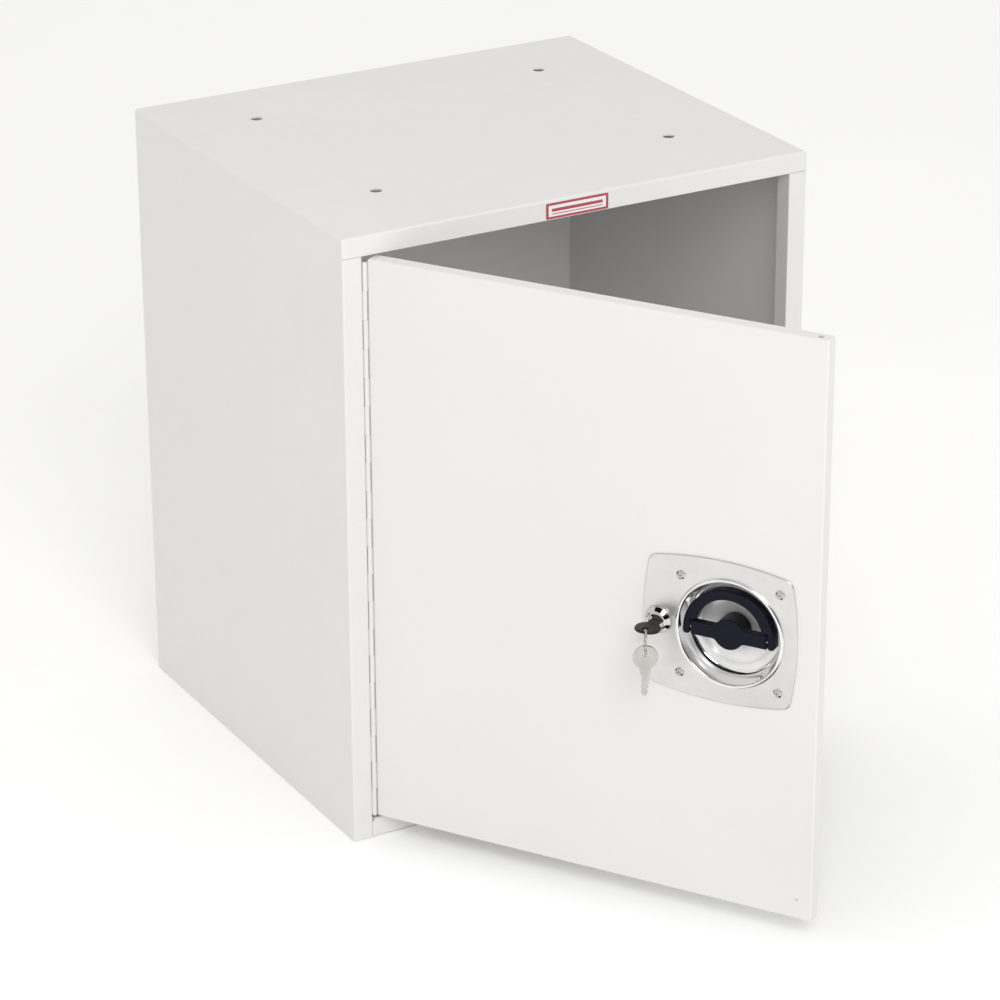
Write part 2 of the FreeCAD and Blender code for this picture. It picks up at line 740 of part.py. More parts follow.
def screw_head_profile(sk):
    """Pan-head screw: half section about its own axis."""
    front = PLATE_FRONT
    outline(sk, (
        (f"{front}-dim.screw_head_proud", "0"),
        (f"{front}-dim.screw_head_proud", "dim.screw_crown"),
        (f"{front}-dim.screw_shoulder", "dim.screw_head"),
        (front, "dim.screw_head"), (front, "dim.screw_shank"),
        (f"{front}+dim.screw_length", "dim.screw_shank"),
        (f"{front}+dim.screw_length", "0")))


def plate_screws():
    """Four cross-recess screws through the plate and the door skin."""
    made = []
    for i, (x, z) in enumerate(screw_centres()):
        body = new_body(f"plate_screw_{i}")
        screw_head_profile(axis_sketch(body, x, z))
        turned(body, body.Group[-1])
        recess = sketch(body, "XZ_Plane", f"{PLATE_FRONT}-dim.screw_head_proud")
        arm, slot = "dim.screw_slot_reach", "dim.screw_slot/2"
        outline(recess, (
            (f"{x}-{arm}", f"{z}-{slot}"), (f"{x}-{slot}", f"{z}-{slot}"),
            (f"{x}-{slot}", f"{z}-{arm}"), (f"{x}+{slot}", f"{z}-{arm}"),
            (f"{x}+{slot}", f"{z}-{slot}"), (f"{x}+{arm}", f"{z}-{slot}"),
            (f"{x}+{arm}", f"{z}+{slot}"), (f"{x}+{slot}", f"{z}+{slot}"),
            (f"{x}+{slot}", f"{z}+{arm}"), (f"{x}-{slot}", f"{z}+{arm}"),
            (f"{x}-{slot}", f"{z}+{slot}"), (f"{x}-{arm}", f"{z}+{slot}")))
        cut(body, recess, "dim.screw_slot_depth")
        made.append(body)
    grouped("plate_screws", made, on_door)


def hexagon(name, half_flats, thick, x, y, z, bore):
    """Hexagon nut about an axis along y, with a plain bore."""
    blank = doc.addObject("Part::Prism", f"{name}_blank")
    blank.Polygon = 6
    bind(blank, Circumradius=f"{half_flats}/cos(30 deg)", Height=thick)
    blank.Placement = Placement(Vector(), Rotation(Vector(0, 0, 1), Vector(0, 1, 0)))
    bind(blank, Placement__Base__x=x, Placement__Base__y=y, Placement__Base__z=z)
    hole = cylinder(f"{name}_hole", bore, f"{thick}+2", x=x, y=f"{y}-1", z=z, axis=(0, 1, 0))
    return less(name, blank, hole)


def plate_nuts():
    """Four nuts on the plate screws, behind the door skin."""
    made = []
    for i, (x, z) in enumerate(screw_centres()):
        made.append(hexagon(f"plate_nut_{i}", "dim.nut_half", "dim.nut_thick", x, SKIN_BACK, z,
                            "dim.screw_shank"))
    grouped("plate_nuts", made, on_door)


def spindle_bush():
    """Flanged bush in the floor of the dish."""
    body = new_body("spindle_bush")
    half = axis_sketch(body, "dim.dish_x", "dim.dish_z")
    outline(half, (
        ("dim.bush_front", "dim.spindle_bore"), ("dim.bush_front", "dim.bush_head"),
        ("dim.step_depth", "dim.bush_head"), ("dim.step_depth", "dim.bush_radius"),
        ("dim.bush_back", "dim.bush_radius"), ("dim.bush_back", "dim.spindle_bore")))
    turned(body, half)
    node(body, "spindle_bush", on_door)


def lock_body():
    """Polished collar and threaded barrel of the key lock."""
    body = new_body("lock_body")
    half = axis_sketch(body, "dim.lock_x", "dim.lock_z")
    outline(half, (
        (f"{PLATE_FRONT}-dim.lock_proud", "dim.plug_bore"),
        (f"{PLATE_FRONT}-dim.lock_proud", "dim.lock_face"),
        (f"{PLATE_FRONT}-dim.lock_skirt", "dim.lock_collar"),
        (PLATE_FRONT, "dim.lock_collar"), (PLATE_FRONT, "dim.lock_barrel"),
        ("dim.lock_back", "dim.lock_barrel"), ("dim.lock_back", "dim.plug_bore")))
    turned(body, half)
    rounded(body, "dim.lock_dome", lambda e: round_edge(e, "dim.lock_face") or at(
        e, y=f"{PLATE_FRONT}-dim.lock_skirt"))
    node(body, "lock_body", on_door)


# ---------------------------------------------------------------- handle

def handle_bar():
    """Round hub with a cross bar, drilled at both ends for the ring's pins."""
    body = new_body("handle_bar")
    hub = sketch(body, "XZ_Plane", "dim.bar_front")
    circle(hub, "dim.dish_x", "dim.dish_z", "dim.hub_radius")
    raised(body, hub, "dim.bar_thick")
    bar = sketch(body, "XZ_Plane", "dim.bar_front")
    rectangle(bar, "dim.dish_x-dim.bar_half", "dim.dish_z-dim.bar_height/2",
              "dim.dish_x+dim.bar_half", "dim.dish_z+dim.bar_height/2")
    raised(body, bar, "dim.bar_thick")

    def hub_corner(edge):
        across = abs(edge.BoundBox.XMin - size("dim.dish_x"))
        return straight(edge, (0, 1, 0)) and across < size("dim.hub_radius+1")
    rounded(body, "dim.bar_blend", hub_corner)
    rounded(body, "dim.bar_edge", lambda e: at(e, y="dim.bar_front"))
    shank = sketch(body, "XZ_Plane", "dim.bar_front+dim.bar_thick/2")
    circle(shank, "dim.dish_x", "dim.dish_z", "dim.hub_radius")
    raised(body, shank, "dim.hub_back-dim.bar_front-dim.bar_thick/2")
    for side, forward in (("-", True), ("+", False)):
        end = sketch(body, "YZ_Plane", f"dim.dish_x{side}dim.bar_half")
        circle(end, "dim.ring_pin_y", "dim.dish_z", "dim.ring_pin_bore")
        cut(body, end, f"dim.bar_half-dim.ring_pin_in+{CLEAR}/2", forward=forward)
    socket = sketch(body, "XZ_Plane", "dim.hub_back")
    circle(socket, "dim.dish_x", "dim.dish_z", "dim.spindle_radius")
    cut(body, socket, "dim.hub_back-dim.bar_front-dim.bar_thick", forward=False)
    node(body, "handle_bar", on_door)


def grouped(name, pieces, place):
    """One node made of separate solids."""
    group = doc.addObject("Part::Compound", f"{name}_group")
    group.Links = pieces
    return node(group, name, place)


def handle_spindle():
    """Round spindle from the hub through the bush to the cam nut."""
    front = "(dim.bar_front+dim.bar_thick)"
    rod = cylinder("spindle_rod", "dim.spindle_radius", f"dim.spindle_end-{front}",
                   x="dim.dish_x", y=front, z="dim.dish_z", axis=(0, 1, 0))
    grouped("handle_spindle", [rod], on_door)


def latch_cam():
    """Flat cam arm on the spindle; it points up when the latch is free."""
    body = new_body("latch_cam")
    face = sketch(body, "XZ_Plane", "dim.cam_front")
    rectangle(face, "dim.dish_x-dim.cam_width/2", "dim.dish_z", "dim.dish_x+dim.cam_width/2",
              "dim.dish_z+dim.cam_reach")
    raised(body, face, "dim.cam_thick")
    rounded(body, "dim.cam_round",
            lambda e: straight(e, (0, 1, 0)) and at(e, z="dim.dish_z+dim.cam_reach"))
    boss = sketch(body, "XZ_Plane", "dim.cam_front")
    circle(boss, "dim.dish_x", "dim.dish_z", "dim.cam_boss")
    raised(body, boss, "dim.cam_thick")
    bore = sketch(body, "XZ_Plane", "dim.cam_front")
    circle(bore, "dim.dish_x", "dim.dish_z", "dim.spindle_radius")
    cut(body, bore, "dim.cam_thick")
    node(body, "latch_cam", on_door)


def cam_fixings():
    """Washer and nut that hold the cam on the spindle."""
    washer_y = "(dim.cam_front+dim.cam_thick)"
    disc = cylinder("cam_washer_disc", "dim.washer_radius", "dim.washer_thick", x="dim.dish_x",
                    y=washer_y, z="dim.dish_z", axis=(0, 1, 0))
    hole = cylinder("cam_washer_hole", "dim.spindle_radius", "dim.washer_thick+2",
                    x="dim.dish_x", y=f"{washer_y}-1", z="dim.dish_z", axis=(0, 1, 0))
    node(less("cam_washer_solid", disc, hole), "cam_washer", on_door)
    nut = hexagon("cam_nut_solid", "dim.cam_nut_half", "dim.cam_nut_thick", "dim.dish_x",
                  f"{washer_y}+dim.washer_thick", "dim.dish_z", "dim.spindle_radius")
    node(nut, "cam_nut", on_door)


def handle_ring():
    """D-shaped ring hinged on the ends of the bar, notched round them."""
    body = new_body("handle_ring")
    bow = sketch(body, "XZ_Plane", "dim.ring_front")
    circle(bow, "dim.dish_x", "dim.dish_z-dim.ring_sink", "dim.ring_half")
    raised(body, bow, "dim.ring_thick")
    low = "dim.dish_z-dim.ring_foot"
    below = sketch(body, "XZ_Plane", "dim.ring_front")
    rectangle(below, "dim.dish_x-dim.ring_half*2", f"{low}-dim.ring_half*2",
              "dim.dish_x+dim.ring_half*2", low)
    cut(body, below, "dim.ring_thick")
    opening = sketch(body, "XZ_Plane", "dim.ring_front")
    circle(opening, "dim.dish_x", "dim.dish_z", "dim.ring_inner")
    cut(body, opening, "dim.ring_thick")
    notch = sketch(body, "XZ_Plane", "dim.ring_front")
    rectangle(notch, "dim.dish_x-dim.ring_notch", f"{low}-{CLEAR}", "dim.dish_x+dim.ring_notch",
              "dim.dish_z+dim.ring_notch_top")
    cut(body, notch, "dim.ring_thick")
    rounded(body, "dim.ring_foot_round", lambda e: straight(e, (0, 1, 0)) and at(e, z=low))
    rounded(body, "dim.ring_edge", lambda e: at(e, y="dim.ring_front"))
    for side, forward in (("-", True), ("+", False)):
        leg = sketch(body, "YZ_Plane", f"dim.dish_x{side}dim.ring_pin_out")
        circle(leg, "dim.ring_pin_y", "dim.dish_z", "dim.ring_pin_radius")
        cut(body, leg, f"dim.ring_pin_out-dim.ring_notch+{CLEAR}/2", forward=forward)
    node(body, "handle_ring", on_door)


def ring_pins():
    """Two pivot pins fixed in the ring's legs."""
    made = []
    for name, start in (("left", "dim.dish_x-dim.ring_pin_out"),
                        ("right", "dim.dish_x+dim.ring_pin_in")):
        made.append(cylinder(f"ring_pin_{name}", "dim.ring_pin_radius",
                             "dim.ring_pin_out-dim.ring_pin_in", x=start,
                             y="dim.ring_pin_y", z="dim.dish_z",
                             axis=(1, 0, 0)))
    grouped("ring_pins", made, on_door)


# ---------------------------------------------------------------- lock and keys

def lock_plug():
    """Plug that turns in the lock barrel, with a keyway and a squared tail."""
    body = new_body("lock_plug")
    front = sketch(body, "XZ_Plane", "dim.plug_front")
    circle(front, "dim.lock_x", "dim.lock_z", "dim.plug_radius")
    raised(body, front, "dim.plug_back-dim.plug_front")
    tail = sketch(body, "XZ_Plane", "dim.plug_back")
    rectangle(tail, "dim.lock_x-dim.cam_square", "dim.lock_z-dim.cam_square",
              "dim.lock_x+dim.cam_square", "dim.lock_z+dim.cam_square")
    raised(body, tail, "dim.plug_tail-dim.plug_back")
    keyway = sketch(body, "XZ_Plane", "dim.plug_front")
    rectangle(keyway, "dim.lock_x-dim.keyway_width/2", "dim.lock_z-dim.keyway_height/2",
              "dim.lock_x+dim.keyway_width/2", "dim.lock_z+dim.keyway_height/2")
    cut(body, keyway, "dim.keyway_end-dim.plug_front")
    node(body, "lock_plug", on_door)


def lock_cam():
    """Blocking cam on the plug's tail."""
    body = new_body("lock_cam")
    face = sketch(body, "XZ_Plane", "dim.plug_back")
    rectangle(face, "dim.lock_x-dim.lock_cam_width/2", "dim.lock_z-dim.lock_cam_width/2",
              "dim.lock_x+dim.lock_cam_width/2", "dim.lock_z+dim.lock_cam_reach")
    raised(body, face, "dim.plug_tail-dim.plug_back")
    rounded(body, "dim.lock_cam_round", lambda e: straight(e, (0, 1, 0)))
    square = sketch(body, "XZ_Plane", "dim.plug_back")
    rectangle(square, "dim.lock_x-dim.cam_square", "dim.lock_z-dim.cam_square",
              "dim.lock_x+dim.cam_square", "dim.lock_z+dim.cam_square")
    cut(body, square, "dim.plug_tail-dim.plug_back")
    node(body, "lock_cam", on_door)


def lock_fixings():
    """Ring nut on the barrel and the screw head that holds the lock cam."""
    nut = hexagon("lock_nut_solid", "dim.lock_nut_half", "dim.lock_nut_thick", "dim.lock_x",
                  SKIN_BACK, "dim.lock_z", "dim.lock_barrel")
    node(nut, "lock_nut", on_door)
    head = cylinder("tail_screw_disc", "dim.tail_screw_head", "dim.tail_screw_thick",
                    x="dim.lock_x", y="dim.plug_tail", z="dim.lock_z", axis=(0, 1, 0))
    slot = cuboid("tail_screw_slot", "dim.lock_x-dim.tail_screw_head",
                  "dim.plug_tail+dim.tail_slot_depth", "dim.lock_z-dim.screw_slot/2",
                  "2*dim.tail_screw_head", "dim.tail_screw_thick", "dim.screw_slot")
    node(less("lock_cam_screw_solid", head, slot), "lock_cam_screw", on_door)


def key_blade():
    """Blade of the key in the lock, lying flat, cut along one edge."""
    body = new_body("key_blade")
    flat = sketch(body, "XY_Plane", "dim.lock_z-dim.blade_thick/2")
    left, right = "dim.lock_x-dim.blade_width/2", "dim.lock_x+dim.blade_width/2"
    tip, deep = "dim.blade_end", "dim.cut_depth"
    bitting = [(f"{right}-{deep}*{share}", f"{tip}-dim.cut_pitch*{steps}")
               for share, steps in BLADE_CUTS]
    outline(flat, (
        (left, "dim.neck_near"), (right, "dim.neck_near"), *bitting, ("dim.lock_x", tip),
        (f"{left}+{deep}/2", f"{tip}-dim.cut_pitch/2"), (left, f"{tip}-dim.cut_pitch")))
    raised(body, flat, "dim.blade_thick")
    node(body, "key_blade", on_door)


def key_bow():
    """Moulded bow and neck of the key in the lock, with a hole near its outer end."""
    body = new_body("key_bow")
    low = "dim.lock_z-dim.bow_thick/2"
    flat = sketch(body, "XY_Plane", low)
    rectangle(flat, "dim.lock_x-dim.bow_width/2", "dim.bow_far",
              "dim.lock_x+dim.bow_width/2", "dim.bow_near")
    raised(body, flat, "dim.bow_thick")
    rounded(body, "dim.bow_corner", lambda e: straight(e, (0, 0, 1)))
    rounded(body, "dim.bow_edge",
            lambda e: at(e, z=low) or at(e, z="dim.lock_z+dim.bow_thick/2"))
    neck = sketch(body, "XY_Plane", low)
    rectangle(neck, "dim.lock_x-dim.neck_width/2", "dim.bow_near-dim.bow_thick",
              "dim.lock_x+dim.neck_width/2", "dim.neck_near")
    raised(body, neck, "dim.bow_thick")
    hole = sketch(body, "XY_Plane", low)
    circle(hole, "dim.lock_x", "dim.bow_hole_y", "dim.bow_hole")
    cut(body, hole, "dim.bow_thick")
    node(body, "key_bow", on_door)


RING_LOW = "(dim.lock_z-dim.split_drop-dim.split_radius)"
SPARE_HOLE_Z = f"({RING_LOW}+dim.split_wire+dim.spare_gap-dim.spare_hole)"
SPARE_TOP = f"({SPARE_HOLE_Z}+dim.spare_hole+dim.spare_rim)"


def from_bow_hole(thing):
    """Place a piece drawn from the bow's hole, -y outwards, turned about the hole."""
    across, inward = "dim.lock_x", "dim.bow_hole_y"
    turn = "dim.door_open*1 deg"
    thing.Placement = Placement(Vector(), Rotation(Vector(0, 0, -1), 1))
    bind(thing, Placement__Base__x=f"{HINGE_X}+{across}*cos({turn})+{inward}*sin({turn})",
         Placement__Base__y=f"{HINGE_Y}-{across}*sin({turn})+{inward}*cos({turn})",
         Placement__Rotation__Angle="dim.door_open-dim.split_turn")


def key_ring():
    """Wire ring through both keys, square to the spare key."""
    hoop = doc.addObject("Part::Torus", "key_ring_hoop")
    bind(hoop, Radius1="dim.split_radius", Radius2="dim.split_wire")
    hoop.Placement = Placement(Vector(), Rotation(Vector(0, 0, 1), Vector(1, 0, 0)))
    bind(hoop, Placement__Base__y="-dim.split_out", Placement__Base__z="dim.lock_z-dim.split_drop")
    grouped("key_ring", [hoop], from_bow_hole)


def spare_key():
    """Plain metal key hanging from the ring."""
    body = new_body("spare_key")
    front = "(-dim.split_out-dim.spare_thick/2)"
    head = sketch(body, "XZ_Plane", front)
    circle(head, "0", f"{SPARE_TOP}-dim.spare_bow", "dim.spare_bow")
    raised(body, head, "dim.spare_thick")
    blade = sketch(body, "XZ_Plane", front)
    tip = f"({SPARE_TOP}-dim.spare_length)"
    right = "dim.spare_blade/2"
    left = f"-{right}"
    shoulder = "dim.spare_shoulder"
    low = f"({tip}+dim.spare_shoulder_from_tip)"
    deep, pitch = "dim.cut_depth", "dim.cut_pitch"
    top = f"{SPARE_TOP}-dim.spare_bow*3/2"
    bitting = [(f"{right}-{deep}*{share}", f"{tip}+{pitch}*{steps}") for share, steps in SPARE_CUTS]
    outline(blade, (
        (f"{left}-{shoulder}", top), (f"{left}-{shoulder}", low),
        (left, f"{low}-{shoulder}"), (left, f"{tip}+{shoulder}"), (f"{left}+{shoulder}", tip),
        *bitting, (right, f"{low}-{shoulder}"), (f"{right}+{shoulder}", low),
        (f"{right}+{shoulder}", top)))
    raised(body, blade, "dim.spare_thick")
    hole = sketch(body, "XZ_Plane", front)
    circle(hole, "0", SPARE_HOLE_Z, "dim.spare_hole")
    cut(body, hole, "dim.spare_thick")
    node(body, "spare_key", from_bow_hole)


def check_and_write():
    """Stop on any failed feature or unsound shape, then write one file a piece."""
    doc.recompute()
    for thing in doc.Objects:
        failed = [state for state in thing.State if state in ("Invalid", "Error")]
        if failed:
            raise RuntimeError(f"{thing.Label}: {failed}")
    for thing in nodes:
        if thing.Shape.isNull() or not thing.Shape.isValid():
            raise RuntimeError(f"{thing.Label}: unsound shape")
    os.makedirs("parts", exist_ok=True)
    for thing in nodes:
        thing.Shape.exportStep(f"parts/{thing.Label}.step")
        box = thing.Shape.BoundBox
        print(f"{thing.Label:18s} solids {len(thing.Shape.Solids)} volume "
              f"{thing.Shape.Volume / 1000:9.2f} cm3  box {box.XLength:.1f} {box.YLength:.1f} "
              f"{box.ZLength:.1f}")


shell_wrapper()
base_pan()
back_panel()
label_plate()
strike_bracket()
strike_pad()
hinge_leaf("hinge_leaf_frame", 0, -1, on_hinge_axis)
hinge_leaf("hinge_leaf_door", 1, 1, on_door)
hinge_pin()
door_pan()
handle_plate()
handle_dish()
plate_screws()
plate_nuts()
spindle_bush()
lock_body()
handle_bar()
handle_spindle()
latch_cam()
cam_fixings()
handle_ring()
ring_pins()
lock_plug()
lock_cam()
lock_fixings()
key_blade()
key_bow()
key_ring()
spare_key()
check_and_write()
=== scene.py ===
"""Looks of the steel locker cabinet: materials, finer metal pieces, light and camera."""
import json
import math

import bmesh
import bpy
from mathutils import Matrix, Vector


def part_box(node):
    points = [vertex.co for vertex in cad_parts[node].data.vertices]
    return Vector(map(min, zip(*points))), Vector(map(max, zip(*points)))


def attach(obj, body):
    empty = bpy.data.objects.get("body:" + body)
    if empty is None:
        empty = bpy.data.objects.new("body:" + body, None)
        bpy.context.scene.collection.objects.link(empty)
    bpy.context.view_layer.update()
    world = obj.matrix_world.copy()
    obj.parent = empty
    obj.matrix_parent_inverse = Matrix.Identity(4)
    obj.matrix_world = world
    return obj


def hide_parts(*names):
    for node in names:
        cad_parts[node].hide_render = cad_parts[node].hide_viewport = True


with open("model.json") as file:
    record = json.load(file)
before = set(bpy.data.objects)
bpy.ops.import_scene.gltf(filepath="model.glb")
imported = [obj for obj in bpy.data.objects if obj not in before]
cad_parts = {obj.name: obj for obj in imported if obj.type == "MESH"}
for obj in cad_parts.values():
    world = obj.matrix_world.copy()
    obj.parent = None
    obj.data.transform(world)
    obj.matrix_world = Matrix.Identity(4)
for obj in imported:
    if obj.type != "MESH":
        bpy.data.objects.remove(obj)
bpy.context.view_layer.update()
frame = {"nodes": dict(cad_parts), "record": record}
record = frame["record"]
joints = {joint["name"]: joint for joint in record["behaviour"]["joints"]}

MM = 1000  # millimetres in a metre

# ---------------------------------------------------------------- the door's own frame

inward = Vector(joints["handle_turn"]["axis"])
OPEN = math.atan2(inward.x, inward.y)
HINGE = Vector(joints["door_swing"]["pos_m"])
DOOR = Matrix.Translation((HINGE.x, HINGE.y, 0)) @ Matrix.Rotation(-OPEN, 4, "Z")
TO_DOOR = DOOR.inverted()


def in_door(joint):
    """A joint's point in the door's frame, in millimetres: x along, y inwards, z up."""
    return TO_DOOR @ Vector(joints[joint]["pos_m"]) * MM


DISH = in_door("handle_turn")
LOCK = in_door("key_turn")
BOW = in_door("split_ring_swivel")


def door_span(node):
    """Lowest and highest corner of a CAD node in the door's frame, in millimetres."""
    points = [TO_DOOR @ vertex.co * MM for vertex in frame["nodes"][node].data.vertices]
    low = Vector([min(point[axis] for point in points) for axis in range(3)])
    high = Vector([max(point[axis] for point in points) for axis in range(3)])
    return low, high


# ---------------------------------------------------------------- materials

def new_material(name):
    material = bpy.data.materials.new(name)
    material.use_nodes = True
    tree = material.node_tree
    tree.nodes.clear()
    out = tree.nodes.new("ShaderNodeOutputMaterial")
    shader = tree.nodes.new("ShaderNodeBsdfPrincipled")
    tree.links.new(shader.outputs[0], out.inputs[0])
    return material, tree, shader


def place(tree, stretch=(1, 1, 1), turn=0.0):
    """Object coordinates, turned about Z and stretched."""
    where = tree.nodes.new("ShaderNodeTexCoord")
    mapping = tree.nodes.new("ShaderNodeMapping")
    mapping.vector_type = "POINT"
    mapping.inputs["Rotation"].default_value = (0, 0, turn)
    tree.links.new(where.outputs["Object"], mapping.inputs["Vector"])
    scaling = tree.nodes.new("ShaderNodeVectorMath")
    scaling.operation = "MULTIPLY"
    scaling.inputs[1].default_value = stretch
    tree.links.new(mapping.outputs[0], scaling.inputs[0])
    return scaling.outputs[0]


def noise(tree, where, scale, detail=3.0, rough=0.55):
    """Fractal noise, as a number about a half."""
    node = tree.nodes.new("ShaderNodeTexNoise")
    node.inputs["Scale"].default_value = scale
    node.inputs["Detail"].default_value = detail
    node.inputs["Roughness"].default_value = rough
    tree.links.new(where, node.inputs["Vector"])
    return node.outputs["Fac"]


def span(tree, value, low, high, start=0.3, end=0.7):
    """Map a value from start..end to low..high, and hold it there."""
    node = tree.nodes.new("ShaderNodeMapRange")
    node.inputs["From Min"].default_value = start
    node.inputs["From Max"].default_value = end
    node.inputs["To Min"].default_value = low
    node.inputs["To Max"].default_value = high
    tree.links.new(value, node.inputs["Value"])
    return node.outputs["Result"]


def blend_colour(tree, factor, first, second):
    node = tree.nodes.new("ShaderNodeMix")
    node.data_type = "RGBA"
    tree.links.new(factor, node.inputs["Factor"])
    colour_inputs = [socket for socket in node.inputs if socket.type == "RGBA"]
    for socket, colour in zip(colour_inputs, (first, second)):
        socket.default_value = (*colour, 1)
    return next(socket for socket in node.outputs if socket.type == "RGBA")


def calc(tree, operation, first, second=None):
    """One math node over numbers or sockets."""
    node = tree.nodes.new("ShaderNodeMath")
    node.operation = operation
    for socket, value in ((0, first), (1, second)):
        if value is None:
            continue
        if isinstance(value, (int, float)):
            node.inputs[socket].default_value = value
        else:
            tree.links.new(value, node.inputs[socket])
    return node.outputs[0]


def bumped(tree, shader, height, distance, strength=1.0):
    node = tree.nodes.new("ShaderNodeBump")
    node.inputs["Distance"].default_value = distance
    node.inputs["Strength"].default_value = strength
    tree.links.new(height, node.inputs["Height"])
    tree.links.new(node.outputs[0], shader.inputs["Normal"])


def from_axis(tree, centre):
    """Distance in metres from the line along the door's inward direction through a point."""
    where = tree.nodes.new("ShaderNodeTexCoord")
    away = tree.nodes.new("ShaderNodeVectorMath")
    away.operation = "SUBTRACT"
    away.inputs[1].default_value = DOOR @ (centre / MM)
    tree.links.new(where.outputs["Object"], away.inputs[0])
    across = tree.nodes.new("ShaderNodeVectorMath")
    across.operation = "CROSS_PRODUCT"
    across.inputs[1].default_value = inward
    tree.links.new(away.outputs[0], across.inputs[0])
    length = tree.nodes.new("ShaderNodeVectorMath")
    length.operation = "LENGTH"
    tree.links.new(across.outputs[0], length.inputs[0])
    return length.outputs["Value"]


FLOOR_METAL = 0.35
FLOOR_ROUGH = 0.22
FLOOR_BLEND = 0.0015


def pressed_dish(name, centre, floor_radius):
    """Drawn stainless dish: mirror walls and rim, and a satin floor with fine turned rings."""
    material, tree, shader = new_material(name)
    radius = from_axis(tree, centre)
    floor = span(tree, radius, 1.0, 0.0, floor_radius - FLOOR_BLEND, floor_radius + FLOOR_BLEND)
    cloud = noise(tree, place(tree), 60.0, 3.0)
    rings = noise(tree, place(tree), 420.0, 3.0)
    tree.links.new(blend_colour(tree, span(tree, cloud, 0, 1), (0.79, 0.785, 0.78),
                                (0.86, 0.855, 0.85)), shader.inputs["Base Color"])
    tree.links.new(span(tree, floor, 1.0, FLOOR_METAL, 0.0, 1.0), shader.inputs["Metallic"])
    satin = calc(tree, "MULTIPLY", floor, FLOOR_ROUGH)
    grain = span(tree, rings, 0.02, 0.05)
    tree.links.new(calc(tree, "ADD", satin, grain), shader.inputs["Roughness"])
    bumped(tree, shader, rings, 0.000008, 0.4)
    return material


def powder_coat(name, light, shade, rough=0.42):
    """Sprayed powder coat: a fine orange-peel skin and slow drifts of tone and gloss."""
    material, tree, shader = new_material(name)
    where = place(tree)
    drift = noise(tree, where, 7.0, 2.0)
    grain = noise(tree, where, 900.0, 2.0)
    tone = calc(tree, "ADD", calc(tree, "MULTIPLY", drift, 0.75),
                calc(tree, "MULTIPLY", grain, 0.25))
    tree.links.new(blend_colour(tree, span(tree, tone, 0, 1), shade, light),
                   shader.inputs["Base Color"])
    tree.links.new(span(tree, noise(tree, where, 60.0), rough - 0.05, rough + 0.07),
                   shader.inputs["Roughness"])
    shader.inputs["Specular IOR Level"].default_value = 0.4
    bumped(tree, shader, noise(tree, where, 420.0, 2.0, 0.5), 0.00012, 0.5)
    return material


def metal(name, bright, dark, rough, spread, stretch=(1, 1, 1), scale=500.0, depth=0.00002,
          turn=0.0, anisotropy=0.0):
    """Bare or plated metal with tool marks along one direction."""
    material, tree, shader = new_material(name)
    shader.inputs["Metallic"].default_value = 1.0
    shader.inputs["Anisotropic"].default_value = anisotropy
    marks = noise(tree, place(tree, stretch, turn), scale, 4.0, 0.6)
    cloud = noise(tree, place(tree), 45.0, 3.0)
    tree.links.new(blend_colour(tree, span(tree, cloud, 0, 1), dark, bright),
                   shader.inputs["Base Color"])
    tree.links.new(span(tree, marks, max(0.01, rough - spread), rough + spread),
                   shader.inputs["Roughness"])
    bumped(tree, shader, marks, depth, 0.6)
    return material


def moulded(name, light, dark, rough, spread, scale=700.0, depth=0.00006, gloss=0.5):
    """Moulded plastic, rubber or a thick satin coating, with a fine grain."""
    material, tree, shader = new_material(name)
    where = place(tree)
    tree.links.new(blend_colour(tree, span(tree, noise(tree, where, 120.0), 0, 1), dark, light),
                   shader.inputs["Base Color"])
    tree.links.new(span(tree, noise(tree, where, 200.0), rough - spread, rough + spread),
                   shader.inputs["Roughness"])
    shader.inputs["Specular IOR Level"].default_value = gloss
    bumped(tree, shader, noise(tree, where, scale, 3.0), depth, 0.5)
    return material


LABEL_SIDE_BORDER, LABEL_END_BORDER, LABEL_MARGIN = 0.0024, 0.0021, 0.0055
BAR_UP, BAR_HALF = 0.0006, 0.0014
LINE_DOWN, LINE_HALF = 0.0028, 0.0004


def label_print(name, node):
    """White film with a dark red border and two plain bars, all placed from the label's box."""
    low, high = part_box(node)
    centre = (low + high) / 2
    half = (high - low) / 2
    material, tree, shader = new_material(name)
    split = tree.nodes.new("ShaderNodeSeparateXYZ")
    tree.links.new(place(tree), split.inputs[0])
    across = calc(tree, "ABSOLUTE", calc(tree, "SUBTRACT", split.outputs[0], centre.x))
    height = calc(tree, "SUBTRACT", split.outputs[2], centre.z)
    up = calc(tree, "ABSOLUTE", height)
    edge = calc(tree, "MAXIMUM",
                calc(tree, "GREATER_THAN", across, half.x - LABEL_SIDE_BORDER),
                calc(tree, "GREATER_THAN", up, half.z - LABEL_END_BORDER))
    inside = calc(tree, "LESS_THAN", across, half.x - LABEL_MARGIN)
    from_bar = calc(tree, "ABSOLUTE", calc(tree, "SUBTRACT", height, BAR_UP))
    thick = calc(tree, "LESS_THAN", from_bar, BAR_HALF)
    from_line = calc(tree, "ABSOLUTE", calc(tree, "ADD", height, LINE_DOWN))
    thin = calc(tree, "LESS_THAN", from_line, LINE_HALF)
    bars = calc(tree, "MULTIPLY", inside, calc(tree, "MAXIMUM", thick, thin))
    ink = calc(tree, "MAXIMUM", edge, bars)
    worn = span(tree, noise(tree, place(tree), 900.0), 0.9, 1.0)
    red = calc(tree, "MULTIPLY", ink, worn)
    tree.links.new(blend_colour(tree, red, (0.80, 0.76, 0.76), (0.36, 0.018, 0.04)),
                   shader.inputs["Base Color"])
    tree.links.new(span(tree, noise(tree, place(tree), 300.0), 0.28, 0.4),
                   shader.inputs["Roughness"])
    return material


